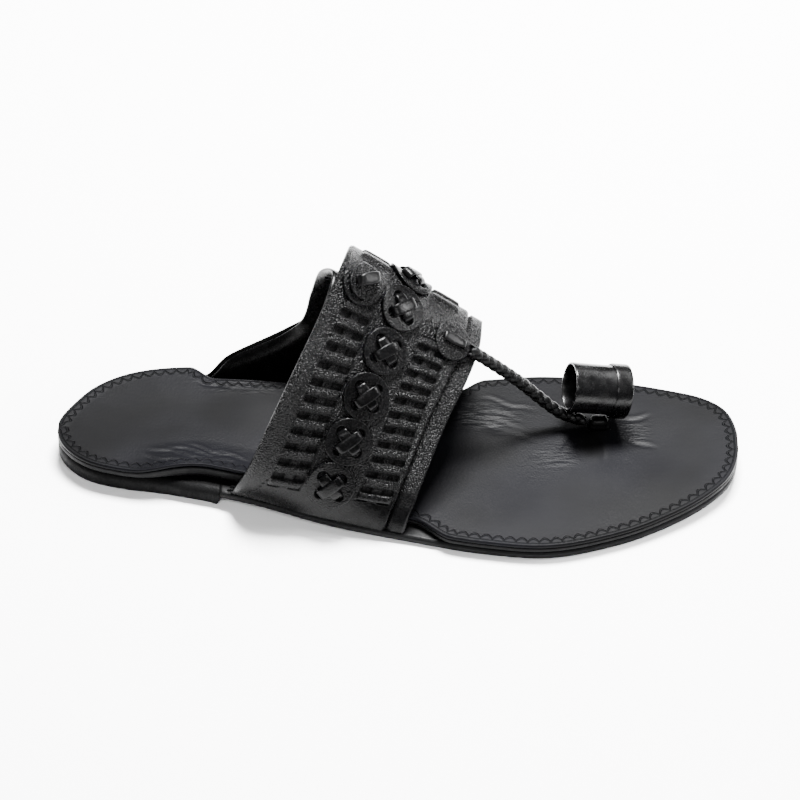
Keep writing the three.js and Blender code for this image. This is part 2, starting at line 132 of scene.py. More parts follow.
# Toe ring, cord and post
RING_CENTRE = (179.4, 9.9, 25.4)
RING_YAW = math.radians(10)
RING_DROOP = math.radians(12.7)
RING_LENGTH = 25.0
RING_RADIUS = 11.0
ROLL_START = 9.8
ROLL_GROWTH = 1.5
ROLL_HALF_WALL = 0.62
LAP_END = math.radians(208)
LAP_OVER = 0.5
TRIM_HALF = 3.6
TRIM_RISE = 0.45
CORD_RADIUS = 2.4
CORD_TURNS = 7.5
STRAND_ORBIT = 1.75
STRAND_WEAVE = 0.38
STRAND_HALF = (1.6, 0.7)
CORE_RADIUS = 1.6
CORD_ROUTE = ((145, 7.3, 32.5), (164, 6.4, 15.2), (174.2, 6.2, 11))
POST_BASE = (181.0, 7.0)
POST_HALF = (4.4, 3.2)

# Sole edge: station from heel (0) to toe (1), inner Y, outer Y
SOLE_EDGE = np.array(
    [
        (0, -5.6, -5.6),
        (0.015, 7.2, -18.0),
        (0.05, 21.3, -26.8),
        (0.1, 30.4, -31.4),
        (0.17, 34.7, -34.6),
        (0.28, 34.6, -42.4),
        (0.4, 32.8, -53.3),
        (0.52, 32.4, -60.5),
        (0.62, 35.0, -66.7),
        (0.72, 38.1, -68.6),
        (0.82, 35.4, -60.2),
        (0.9, 29.7, -48.1),
        (0.955, 23.1, -36.1),
        (0.988, 12.8, -23.7),
        (1, -5.6, -5.6),
    ]
)

# Instep arch: run, rear edge X Y Z, front edge X Y Z
ARCH = np.array(
    [
        (-1, 22, -41.6, 8.5, 97, -60.1, 4.3),
        (-0.93, 27.5, -45.1, 15, 99.5, -57.6, 10.5),
        (-0.83, 33, -46.9, 26, 103, -52.6, 17),
        (-0.72, 38, -45.6, 38, 107, -45.1, 24.5),
        (-0.47, 49.5, -33.6, 61, 116, -25.6, 37.5),
        (-0.22, 62.5, -12.6, 81, 124.5, -7.6, 45.5),
        (0, 71.5, 7.9, 93, 129.5, 8.4, 50),
        (0.18, 74.5, 27.4, 88.5, 130.5, 23.4, 51.5),
        (0.38, 71, 36.9, 68, 130, 32.4, 39),
        (0.58, 63, 38.9, 46, 127.5, 35.4, 23),
        (0.74, 45, 37.9, 33, 121, 36.4, 15.5),
        (0.88, 23, 35.9, 21, 116.5, 35.4, 9),
        (0.94, 15.5, 35.2, 15.5, 114.8, 34.6, 6.4),
        (1, 8, 34.4, 8.8, 113, 33.4, 4.2),
    ]
)

# How far the lining's rear edge hangs back, sideways and down: run, back, side, down
LINING_SAG = np.array(
    [
        (-1, 0, 0, 0),
        (-0.3, 0, 0, 0),
        (0, 3.5, 0, 3),
        (0.18, 13, 3.2, 9),
        (0.38, 14.5, 4.2, 8),
        (0.58, 11, 3, 4),
        (0.74, 3, 1.2, 1.5),
        (0.88, 0, 0, 0),
        (1, 0, 0, 0),
    ]
)

# Creases of the insole as soft troughs: from X Y, to X Y, depth, half width
CREASES = (
    (115, 20, 150, 9, 0.28, 0.9),
    (117, 14, 149, 5, 0.3, 0.9),
    (121, 9, 152, 1, 0.26, 0.8),
    (128, 24, 156, 14, 0.24, 0.9),
    (132, 3, 158, -4, 0.22, 0.8),
    (186, 2, 206, -9, 0.3, 0.9),
    (186, 9, 205, 13, 0.28, 0.9),
    (178, 1, 183, -16, 0.3, 1.0),
    (174, 3, 160, -12, 0.28, 1.0),
    (8, 31, 34, 24, 0.35, 1.0),
    (13, 33, 44, 26, 0.32, 1.0),
    (20, 34, 50, 30, 0.3, 0.9),
    (6, 26, 24, 20, 0.28, 1.0),
    (-12, -18, 14, -26, 0.32, 1.0),
    (-6, -16, 22, -25, 0.32, 1.0),
    (2, -15, 30, -26, 0.3, 0.9),
    (-14, -23, 6, -29, 0.3, 0.9),
    (14, -19, 34, -27, 0.26, 0.9),
)

# Needle holes near the band's rear outer corner, painted as dark spots of shade with no hole in the mesh:
# run, across
NEEDLE_HOLES = ((-0.851, 0.134), (-0.87, 0.126), (-0.889, 0.119), (-0.907, 0.111), (-0.926, 0.103))

# Finely crumpled areas of the insole: X, Y, reach along X, reach along Y
CRUMPLES = (
    (30, 27, 26, 9),
    (14, -24, 24, 8),
    (132, 12, 16, 10),
    (194, 3, 9, 8),
    (163, -14, 10, 9),
)

# Painted shadow of the ring and its post on the insole, a dark patch: X, Y, reach along X, reach along Y
RING_SHADOW = (178.0, -3.5, 7.5, 12.0)

# Soft dents of the insole: X, Y, reach along X, reach along Y, depth
DENTS = (
    (-8, 0, 34, 24, 0.7),
    (150, -22, 34, 30, 0.5),
    (136, 4.5, 5, 4, 0.5),
    (181, 7, 13, 10, 0.7),
    (206, -12, 18, 16, 0.35),
)

# Tab of the post: height above the insole, share of its full size
POST_STEPS = ((-0.2, 1.12), (0.4, 1.0), (2.2, 0.95), (3.4, 0.85), (4.1, 0.6), (4.3, 0.2))

# Studio lights in metres and watts: name, place, size, power
LIGHTS = (
    ("overhead", (0.2, 0.5, 1.25), (0.55, 0.4), 235.0),
    ("behind", (0.15, 1.1, 1.1), (1.8, 0.25), 10.0),
    ("front_strip", (0.15, -0.95, 1.0), (1.2, 0.16), 16.0),
    ("toe_side", (1.3, 0.05, 0.8), (0.4, 0.35), 30.0),
)
LIGHT_AIM = (0.09, 0.0, 0.02)
SKY_STRENGTH = 0.3
FLOOR_HALF = 6.0

# Camera in degrees and metres
CAMERA_HEADING = -0.65
CAMERA_FALL = 42.0
CAMERA_ROLL = 0.56
CAMERA_DISTANCE = 1.5
CAMERA_AIM = (0.095, -0.0086, 0.010)
CAMERA_LENS = 158.6
CAMERA_SENSOR = 36
CAMERA_SHIFT = (0.0029, 0.0525)


def smooth(start, end, value):
    """Rises softly from 0 at start to 1 at end."""
    t = np.clip((np.asarray(value, float) - start) / (end - start), 0, 1)
    return t * t * (3 - 2 * t)


def read_curve(keys, values, at):
    """A smooth curve through a table's rows, with the tangents of its neighbours."""
    at = np.asarray(at, float)
    last = len(keys) - 1
    row = np.clip(np.searchsorted(keys, at) - 1, 0, last - 1)
    before = np.maximum(np.arange(last + 1) - 1, 0)
    after = np.minimum(np.arange(last + 1) + 1, last)
    slope = (values[after] - values[before]) / (keys[after] - keys[before])
    span = keys[row + 1] - keys[row]
    t = (at - keys[row]) / span
    t2 = t * t
    t3 = t2 * t
    here = values[row] * (2 * t3 - 3 * t2 + 1) + slope[row] * span * (t3 - 2 * t2 + t)
    return here + values[row + 1] * (3 * t2 - 2 * t3) + slope[row + 1] * span * (t3 - t2)


def span_share(station, span):
    start, full, until, end = span
    return smooth(start, full, station) * (1 - smooth(until, end, station))


def station_angle(station):
    return np.arccos(1 - 2 * np.clip(station, 0, 1))


EDGE_ANGLES = station_angle(SOLE_EDGE[:, 0])
EDGE_COLUMN = {"inner": 1, "outer": 2}


def edge_y(station, side):
    return read_curve(EDGE_ANGLES, SOLE_EDGE[:, EDGE_COLUMN[side]], station_angle(station))


def station_of(x):
    return (np.asarray(x, float) - HEEL_BACK) / SOLE_LENGTH


def outsole_bottom(station):
    heel = HEEL_RISE * (1 - smooth(*WAIST, station))
    toe = np.maximum(0, (station - TREAD_END) / (1 - TREAD_END))
    return heel + TOE_SPRING * toe * toe


def outsole_top(station):
    return outsole_bottom(station) + OUTSOLE_THICK


def midsole_bottom(station):
    return outsole_top(station) + JOINT_GAP


def midsole_top(station):
    heelward = 1 - smooth(*WAIST, station)
    return midsole_bottom(station) + MIDSOLE_FORE + (MIDSOLE_HEEL - MIDSOLE_FORE) * heelward


def insole_bottom(station):
    return midsole_top(station) + JOINT_GAP


def insole_top(station):
    return insole_bottom(station) + INSOLE_THICK


def arch_inset(station, side):
    return ARCH_INSET * span_share(station, ARCH_SPAN[side])


def waist_curl(station):
    return CURL_LOOK * CURL_RISE * span_share(station, CURL_SPAN)


def insole_curl(station):
    return INSOLE_CURL * waist_curl(station)


def no_inset(station, side):
    return 0.0 * station


def no_curl(station):
    return 0.0 * station


def arch_face(run, across):
    """The outer face of the instep arch; across goes from its rear edge (0) to its front edge (1)."""
    run, across = np.broadcast_arrays(np.asarray(run, float), np.asarray(across, float))
    held = np.clip(run, -1, 1)
    rear = np.stack([read_curve(ARCH[:, 0], ARCH[:, k], held) for k in (1, 2, 3)], axis=-1)
    front = np.stack([read_curve(ARCH[:, 0], ARCH[:, k], held) for k in (4, 5, 6)], axis=-1)
    point = rear + (front - rear) * across[..., None]
    station = station_of(point[..., 0])
    rim_y = np.where(held < 0, edge_y(station, "outer"), edge_y(station, "inner"))
    rim = np.stack([point[..., 0], rim_y, outsole_top(station) + JOINT_GAP], axis=-1)
    share = smooth(FOOT_START, 1, np.abs(held)) ** 2
    return point + (rim - point) * share[..., None]


def unit(vectors):
    return vectors / np.linalg.norm(vectors, axis=-1, keepdims=True)


def arch_point(run, across, rise):
    """Points above the arch's outer face (rise > 0) or inside it (rise < 0)."""
    run, across = np.broadcast_arrays(np.asarray(run, float), np.asarray(across, float))
    step = 0.004
    over = arch_face(run + step, across) - arch_face(run - step, across)
    along = arch_face(run, across + step) - arch_face(run, across - step)
    normal = unit(np.cross(along, over))
    point = arch_face(run, across) + normal * np.asarray(rise, float)[..., None]
    lowest = outsole_top(station_of(point[..., 0])) + JOINT_GAP
    point[..., 2] = np.maximum(point[..., 2], lowest)
    return point


def round_corner(run, across):
    """Draws the band's rear edge forward where it meets the outer sole, so that its corner is round."""
    return across + (1 - across) ** 6 * CORNER_ROUND * np.clip((-0.9 - run) / 0.1, 0, 1) ** 2.5


def row_place(run, across):
    """The woven rows and the discs drift forward towards the outer foot, between the band's fixed edges."""
    within = smooth(0, 0.08, across) * (1 - smooth(0.82, BAND_FRONT, across))
    return across + ROW_DRIFT * within * (1 - smooth(-0.95, 0, run))


def drape(run, across, local):
    """Lays local points (x sideways, y forward, z up) on the arch around one place."""
    step = 0.01
    over = (arch_face(run + step, across) - arch_face(run - step, across)) / (2 * step)
    along = (arch_face(run, across + step) - arch_face(run, across - step)) / (2 * step)
    normal = unit(np.cross(along, over))
    forward = unit(along)
    right = np.cross(forward, normal)
    moved = local[..., 0:1] * right + local[..., 1:2] * forward
    change = moved @ np.linalg.pinv(np.stack([over, along], axis=-1)).T
    return arch_point(run + change[..., 0], across + change[..., 1], local[..., 2])


def loft_faces(rings, around, closed=False):
    """Quads between successive rings, with flat end faces unless the rings close on themselves."""
    first = np.arange(rings if closed else rings - 1)[:, None]
    k = np.arange(around)[None, :]
    following = (first + 1) % rings
    turned = (k + 1) % around
    here = first * around
    ahead = following * around
    corners = [here + k, here + turned, ahead + turned, ahead + k]
    faces = np.stack(np.broadcast_arrays(*corners), axis=-1).reshape(-1, 4).tolist()
    if not closed:
        faces.append(list(range(around))[::-1])
        faces.append(list(range((rings - 1) * around, rings * around)))
    return faces


def add_piece(name, rings, material, nodes, closed=False, marks=None):
    """One smooth mesh through rings of points (millimetres), standing for the named part nodes."""
    rings = np.asarray(rings, float)
    mesh = bpy.data.meshes.new(name)
    mesh.from_pydata((rings.reshape(-1, 3) * MM).tolist(), [], loft_faces(*rings.shape[:2], closed))
    for mark, values in (marks or {}).items():
        layer = mesh.attributes.new(mark, "FLOAT", "POINT")
        layer.data.foreach_set("value", np.asarray(values, np.float32).ravel())
    mesh.shade_smooth()
    mesh.materials.append(material)
    piece = bpy.data.objects.new(name, mesh)
    bpy.context.scene.collection.objects.link(piece)
    turn_outward(mesh)
    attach(piece, "root")
    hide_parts(*nodes)
    return piece


def turn_outward(mesh):
    """Flips the mesh if its faces look inward."""
    mesh.calc_loop_triangles()
    points = np.empty(len(mesh.vertices) * 3)
    mesh.vertices.foreach_get("co", points)
    points = points.reshape(-1, 3)
    corners = np.empty(len(mesh.loop_triangles) * 3, np.int32)
    mesh.loop_triangles.foreach_get("vertices", corners)
    a, b, c = (points[corners.reshape(-1, 3)[:, k]] for k in range(3))
    if np.einsum("ij,ij->", a, np.cross(b, c)) < 0:
        mesh.flip_normals()


class Tree:
    """A material's node tree with short calls for adding nodes and links."""

    def __init__(self, name):
        self.material = bpy.data.materials.new(name)
        self.material.use_nodes = True
        self.tree = self.material.node_tree
        self.surface = self.tree.nodes["Principled BSDF"]
        self.place = self.tree.nodes.new("ShaderNodeTexCoord").outputs["Object"]

    def add(self, kind, inputs=None, **settings):
        made = self.tree.nodes.new(kind)
        for key, value in settings.items():
            setattr(made, key, value)
        for key, value in (inputs or {}).items():
            if isinstance(value, bpy.types.NodeSocket):
                self.tree.links.new(value, made.inputs[key])
            else:
                made.inputs[key].default_value = value
        return made

    def math(self, operation, first, second=None):
        values = {0: first}
        if second is not None:
            values[1] = second
        return self.add("ShaderNodeMath", values, operation=operation).outputs[0]

    def noise(self, scale, detail=4.0, rough=0.55, place=None):
        values = {"Vector": place or self.place, "Scale": scale, "Detail": detail, "Roughness": rough}
        return self.add("ShaderNodeTexNoise", values).outputs["Fac"]

    def remap(self, value, low, high, to_low, to_high):
        values = {"Value": value, "From Min": low, "From Max": high, "To Min": to_low, "To Max": to_high}
        return self.add("ShaderNodeMapRange", values, interpolation_type="SMOOTHSTEP").outputs["Result"]

    def mark(self, name):
        return self.add("ShaderNodeAttribute", attribute_name=name).outputs["Fac"]

    def blend(self, share, first, second):
        values = {"Factor": share, 6: first, 7: second}
        return self.add("ShaderNodeMix", values, data_type="RGBA").outputs[2]

    def bump(self, height, depth, strength=1.0, before=None):
        values = {"Height": height, "Distance": depth, "Strength": strength}
        if before is not None:
            values["Normal"] = before
        return self.add("ShaderNodeBump", values).outputs["Normal"]

    def stretched(self, scale, turn=0.0):
        values = {"Vector": self.place, "Scale": scale, "Rotation": (0, 0, turn)}
        return self.add("ShaderNodeMapping", values).outputs["Vector"]

    def finish(self, colour, roughness, normal, shine):
        self.tree.links.new(colour, self.surface.inputs["Base Color"])
        self.tree.links.new(roughness, self.surface.inputs["Roughness"])
        self.tree.links.new(normal, self.surface.inputs["Normal"])
        self.surface.inputs["Specular IOR Level"].default_value = shine
        return self.material


def grey(level, blue=1.1):
    return (level, level * 1.01, level * blue, 1)


def pebbled_leather():
    """Grained leather of the band: round pebbles that fade out where the hide is smooth."""
    tree = Tree("pebbled leather")
    pebble = tree.mark("pebble")
    hollow_and_shade = tree.mark("hollow_and_shade")
    cells = tree.add("ShaderNodeTexVoronoi", {"Vector": tree.place, "Scale": 1350.0}, feature="SMOOTH_F1")
    cells.inputs["Smoothness"].default_value = 0.4
    mottle = tree.noise(55.0)
    colour = tree.blend(tree.remap(mottle, 0.3, 0.7, 0, 1), grey(0.0004), grey(0.0011))
    # Painted shade: the band's notches, slits, grooves and holes are darkened in the colour by this mark.
    colour = tree.blend(hollow_and_shade, colour, grey(0.0002))
    roughness = tree.remap(tree.noise(380.0), 0.3, 0.7, 0.2, 0.34)
    roughness = tree.math("ADD", roughness, tree.math("MULTIPLY", hollow_and_shade, 0.6))
    height = tree.math("MULTIPLY", cells.outputs["Distance"], -1.0)
    normal = tree.bump(height, 0.0011, tree.remap(pebble, 0, 1, 0.04, 0.7))
    normal = tree.bump(tree.noise(1900.0), 0.0003, tree.remap(pebble, 0, 1, 0.05, 0.5), normal)
    return tree.finish(colour, roughness, normal, 0.07)


def satin_leather(name, level, rough, wrinkle, shine):
    """Smooth leather with fine wrinkles and a soft sheen."""
    tree = Tree(name)
    mottle = tree.noise(38.0)
    fine = tree.noise(900.0, 3.0)
    drawn = tree.noise(1.0, 5.0, 0.6, tree.stretched((160, 520, 300), 0.35))
    colour = tree.blend(tree.remap(mottle, 0.3, 0.72, 0, 1), grey(level * 0.7), grey(level * 1.35, 1.16))
    roughness = tree.remap(tree.noise(120.0), 0.3, 0.7, rough - 0.07, rough + 0.09)
    normal = tree.bump(drawn, 0.0011, wrinkle)
    normal = tree.bump(fine, 0.0002, 0.3, normal)
    return tree.finish(colour, roughness, normal, shine)


def insole_leather():
    """Satin top leather with a tooled scallop border that follows its edge."""
    tree = Tree("insole leather")
    gap = tree.mark("edge_gap")
    along = tree.mark("edge_run")
    wave = tree.math("ABSOLUTE", tree.math("SINE", tree.math("MULTIPLY", along, math.pi / 5.0)))
    reach = tree.math("SUBTRACT", tree.math("SUBTRACT", gap, tree.math("MULTIPLY", wave, 2.2)), 2.3)
    scallop = tree.remap(tree.math("ABSOLUTE", reach), 0.1, 0.75, 1, 0)
    rule = tree.remap(tree.math("ABSOLUTE", tree.math("SUBTRACT", gap, 1.5)), 0.05, 0.4, 1, 0)
    tooling = tree.math("MAXIMUM", scallop, tree.math("MULTIPLY", rule, 0.6))
    mottle = tree.noise(18.0, 2.0)
    colour = tree.blend(tree.remap(mottle, 0.3, 0.72, 0, 1), grey(0.0008, 1.15), grey(0.0018, 1.4))
    colour = tree.blend(tree.math("MULTIPLY", tooling, 0.5), colour, grey(0.001))
    roughness = tree.remap(tree.noise(25.0, 2.0), 0.3, 0.7, 0.34, 0.44)
    wrinkles = tree.noise(1.0, 5.0, 0.6, tree.stretched((120, 420, 200), 0.25))
    normal = tree.bump(wrinkles, 0.0016, tree.remap(tree.mark("crumple"), 0.1, 0.9, 0.015, 0.4))
    grained = tree.remap(tree.noise(22.0), 0.4, 0.65, 0.08, 0.4)
    normal = tree.bump(tree.noise(1300.0, 2.0), 0.0003, grained, normal)
    normal = tree.bump(tree.math("MULTIPLY", tooling, -1.0), 0.0006, 0.9, normal)
    # Painted shadow under the ring: the insole is darker and rougher there.
    ring_shadow = tree.mark("ring_shadow")
    colour = tree.blend(ring_shadow, colour, grey(0.0002))
    roughness = tree.math("ADD", roughness, tree.math("MULTIPLY", ring_shadow, 0.5))
    return tree.finish(colour, roughness, normal, 0.03)


def painted_edge():
    """Dressed and painted leather edge, a little streaky along its length."""
    tree = Tree("painted edge")
    streak = tree.noise(1.0, 5.0, 0.6, tree.stretched((60, 60, 2400)))
    colour = tree.blend(tree.remap(streak, 0.3, 0.7, 0, 1), grey(0.0006), grey(0.002))
    roughness = tree.remap(tree.noise(200.0), 0.3, 0.7, 0.4, 0.6)
    normal = tree.bump(streak, 0.0004, 0.4)
    normal = tree.bump(tree.noise(800.0), 0.0003, 0.35, normal)
    return tree.finish(colour, roughness, normal, 0.06)


def heel_rubber():
    """Matt black heel with a fine pitted skin and rubbed spots."""
    tree = Tree("heel rubber")
    mottle = tree.noise(70.0)
    colour = tree.blend(tree.remap(mottle, 0.35, 0.7, 0, 1), grey(0.0005), grey(0.0012))
    roughness = tree.remap(tree.noise(150.0), 0.3, 0.7, 0.5, 0.75)
    normal = tree.bump(tree.noise(1300.0, 3.0), 0.0004, 0.5)
    return tree.finish(colour, roughness, normal, 0.045)


def floor_paper():
    tree = Tree("pale floor")
    mottle = tree.noise(3.0)
    colour = tree.blend(mottle, (0.88, 0.88, 0.885, 1), (0.9, 0.9, 0.9, 1))
    roughness = tree.remap(tree.noise(40.0), 0.3, 0.7, 0.8, 0.9)
    normal = tree.bump(tree.noise(700.0), 0.0002, 0.1)
    return tree.finish(colour, roughness, normal, 0.07)


def layer_rings(
    angles,
    bottom,
    top,
    inset=no_inset,
    low_curl=no_curl,
    high_curl=no_curl,
    bulge=0.3,
    tops=24,
    rounding=(1, 1),
):
    """Closed cross sections of one sole layer; its lower and upper edge are rounded by the given shares."""
    station = (1 - np.cos(angles)) / 2
    inner = edge_y(station, "inner") - inset(station, "inner")
    outer = edge_y(station, "outer") + inset(station, "outer")
    width = inner - outer
    low, high = bottom(station), top(station)
    side = np.minimum((high - low) * EDGE_ROUND, width * EDGE_ROUND_WIDTH)
    turn = np.linspace(0, 1, SIDE_STEPS)
    share = (1 - np.cos(np.pi * np.linspace(0, 1, tops))) / 2
    rings = []
    for k in range(len(station)):
        swell = bulge * np.sin(np.pi * turn)
        rise = low[k] + (high[k] - low[k]) * turn
        pull = side[k] * ((2 * turn - 1) ** 4) * np.where(turn < 0.5, *rounding)
        top_y = inner[k] - side[k] + (outer[k] - inner[k] + 2 * side[k]) * share
        up = np.clip((outer[k] + CURL_WIDTH - top_y) / CURL_WIDTH, 0, 1) ** 1.4
        lift = up * high_curl(station[k])
        drop = up * low_curl(station[k])
        tip_high = high_curl(station[k])
        tip_low = low_curl(station[k])
        x = HEEL_BACK + SOLE_LENGTH * station[k]
        inner_side = inner[k] + swell - pull
        outer_side = (outer[k] - swell + pull)[::-1]
        y = np.concatenate([inner_side, top_y[1:-1], outer_side, top_y[-2:0:-1]])
        edge_curl = (tip_low + (tip_high - tip_low) * turn)[::-1]
        z = np.concatenate([rise, high[k] + lift[1:-1], rise[::-1] + edge_curl, low[k] + drop[-2:0:-1]])
        rings.append(np.stack([np.full_like(y, x), y, z], axis=-1))
    return np.array(rings)


def sole_angles(count, end=0.9992, start=0.0008):
    return np.linspace(station_angle(start), station_angle(end), count)


def crease_depth(x, y):
    """How deep the insole is pressed by its dents and by its creases, each with a ridge beside it."""
    depth = np.zeros_like(x)
    for ax, ay, bx, by, deep, half in CREASES:
        length = math.hypot(bx - ax, by - ay)
        ex, ey = (bx - ax) / length, (by - ay) / length
        along = (x - ax) * ex + (y - ay) * ey
        aside = (y - ay) * ex - (x - ax) * ey + 0.9 * np.sin(along * 0.35 + ax)
        taper = smooth(0, 0.35 * length, along) * (1 - smooth(0.65 * length, length, along))
        trough = np.exp(-((aside / half) ** 2))
        ridge = 0.6 * np.exp(-(((aside - 2 * half) / half) ** 2))
        depth += deep * taper * (trough - ridge)
    for mx, my, rx, ry, deep in DENTS:
        depth += deep * np.exp(-(((x - mx) / rx) ** 2) - ((y - my) / ry) ** 2)
    return depth


def edge_marks(rings):
    """Distance of each point from the insole's edge, and its place along that edge, both in millimetres."""
    inner = rings[:, :, :2][np.arange(len(rings)), rings[:, :, 1].argmax(axis=1)]
    outer = rings[:, :, :2][np.arange(len(rings)), rings[:, :, 1].argmin(axis=1)]
    outline = np.concatenate([inner, outer[::-1]])
    steps = np.linalg.norm(np.diff(outline, axis=0), axis=1)
    run = np.concatenate([[0], np.cumsum(steps)])
    tree = kdtree.KDTree(len(outline))
    for k, (x, y) in enumerate(outline):
        tree.insert((x, y, 0), k)
    tree.balance()
    flat = rings[:, :, :2].reshape(-1, 2)
    nearest = np.array([tree.find((x, y, 0))[1] for x, y in flat])
    best = np.full(len(flat), 1e9)
    place = np.zeros(len(flat))
    for offset in (-1, 0):
        start = np.clip(nearest + offset, 0, len(outline) - 2)
        edge = outline[start + 1] - outline[start]
        size = np.maximum(np.einsum("ij,ij->i", edge, edge), 1e-9)
        share = np.clip(np.einsum("ij,ij->i", flat - outline[start], edge) / size, 0, 1)
        gap = np.linalg.norm(flat - outline[start] - edge * share[:, None], axis=1)
        closer = gap < best
        best = np.where(closer, gap, best)
        place = np.where(closer, run[start] + np.sqrt(size) * share, place)
    return best, place


def build_sole(edge, insole, rubber):
    heel = layer_rings(sole_angles(120, HEEL_BREAST), no_curl, outsole_top, bulge=0.25, rounding=(0.5, 1))
    lean = smooth(HEEL_BREAST - 0.02, HEEL_BREAST, station_of(heel[:, :1, 0]))
    heel[:, :, 0] -= lean * BREAST_LEAN * (1 - heel[:, :, 2] / HEEL_RISE).clip(0)
    add_piece("heel_block_rubber", heel, rubber, ["heel_block", "outsole"])
    outsole = layer_rings(sole_angles(260, start=HEEL_BREAST), outsole_bottom, outsole_top)
    add_piece("outsole_edge", outsole, edge, ["outsole"])
    midsole = layer_rings(
        sole_angles(300),
        midsole_bottom,
        midsole_top,
        inset=arch_inset,
        high_curl=waist_curl,
        bulge=0.2,
        rounding=(1, 0.2),
    )
    add_piece("midsole_edge", midsole, edge, ["midsole"])
    top = layer_rings(
        sole_angles(440),
        insole_bottom,
        insole_top,
        inset=arch_inset,
        low_curl=insole_curl,
        high_curl=insole_curl,
        bulge=0.2,
        tops=INSOLE_STEPS,
        rounding=(0.2, 1),
    )
    gap, run = edge_marks(top)
    upper = np.zeros(top.shape[:2], bool)
    upper[:, SIDE_STEPS - 1 : SIDE_STEPS - 1 + INSOLE_STEPS] = True
    pressed = crease_depth(top[:, :, 0], top[:, :, 1]) * smooth(0.5, 6, gap.reshape(top.shape[:2]))
    top[:, :, 2] -= np.where(upper, pressed, 0)
    crumple = np.zeros(top.shape[:2])
    for mx, my, rx, ry in CRUMPLES:
        crumple += np.exp(-(((top[:, :, 0] - mx) / rx) ** 2) - ((top[:, :, 1] - my) / ry) ** 2)
    # Painted shadow of the ring on the insole beside the post.
    wx, wy, wrx, wry = RING_SHADOW
    ring_shadow = 1 - smooth(0.25, 1.3, np.hypot((top[:, :, 0] - wx) / wrx, (top[:, :, 1] - wy) / wry))
    marks = {
        "edge_gap": np.where(upper.ravel(), gap, 50),
        "edge_run": run,
        "crumple": np.clip(crumple, 0, 1),
        "ring_shadow": ring_shadow,
    }
    add_piece("insole_top", top, insole, ["insole"], marks=marks)


def weave(run, across, width):
    """Height of the band's woven rows, and how much painted shade darkens each place in its notches, slits
    and grooves.
    """
    place = (run - RUNG_FIRST) / RUNG_PITCH
    nearest = np.round(place)
    beside = np.abs(place - nearest) * RUNG_PITCH * 100
    present = smooth(CREST_CLEAR - 0.02, CREST_CLEAR, np.abs(run))
    present = present * smooth(-0.44, -0.34, place) * smooth(-0.44, -0.34, RUNG_COUNT - 1 - place)
    rise = np.zeros_like(run)
    hollow_and_shade = np.zeros_like(run)
    for middle in ROW_MIDDLES:
        aside = np.abs(across - middle) * width
        in_row = 1 - smooth(ROW_HALF - 0.3, ROW_HALF + 0.5, aside)
        bar = 1 - smooth(RUNG_HALF - 0.35, RUNG_HALF + 0.25, beside)
        crown = np.sqrt(np.clip(1 - (beside / (RUNG_HALF + 0.5)) ** 2, 0, 1))
        taper = np.sqrt(np.clip(1 - (aside / (ROW_HALF + 0.6)) ** 6, 0, 1))
        lace = 1 - smooth(LACE_HALF - 0.3, LACE_HALF + 0.2, aside)
        slit = np.exp(-(((aside - LACE_HALF - 0.4) / 0.5) ** 2))
        slit = slit + np.exp(-(((aside - ROW_HALF) / 0.5) ** 2))
        groove = np.exp(-(((beside - RUNG_HALF - 0.2) / 0.35) ** 2))
        between = (1 - bar) * (-LACE_DEPTH * lace - NOTCH_DEPTH * (1 - lace))
        rise += present * in_row * (bar * crown * taper * RUNG_RISE + between)
        notch = (1 - bar) * (0.45 + 0.6 * slit) * (1 - 0.8 * lace)
        hollow_and_shade += present * in_row * np.maximum(notch, 0.7 * groove)
    return rise, np.clip(hollow_and_shade, 0, 1)


def as_given(run, across):
    return across


def wall_rings(runs, across, outer, inner_rise, sag=None, inner_count=8, place=as_given):
    """Cross sections of a leather wall over the arch, with rounded front and rear edges."""
    columns, rows = np.meshgrid(runs, across, indexing="ij")
    face = arch_point(columns, round_corner(columns, place(columns, rows)), outer(columns, rows))
    back_rows = np.linspace(across[-1], across[0], inner_count)
    columns, rows_in = np.meshgrid(runs, back_rows, indexing="ij")
    back = arch_point(columns, round_corner(columns, rows_in), np.full(columns.shape, inner_rise))
    if sag is not None:
        face = face - sag(np.meshgrid(runs, across, indexing="ij"))
        back = back - sag(np.meshgrid(runs, back_rows, indexing="ij"))
    forward = unit(face[:, -1] - face[:, -4])
    backward = unit(face[:, 0] - face[:, 3])
    lip = 0.5 * (face[:, -1] + back[:, 0]) + 0.4 * forward
    rear_lip = 0.5 * (face[:, 0] + back[:, -1]) + 0.4 * backward
    return np.concatenate([face, lip[:, None], back, rear_lip[:, None]], axis=1)


def sag_of(grid):
    run, across = grid
    share = np.maximum(0, 1 - across / SAG_END) ** 1.3
    columns = [read_curve(LINING_SAG[:, 0], LINING_SAG[:, k], run) for k in (1, 2, 3)]
    return np.stack(columns, axis=-1) * share[..., None]


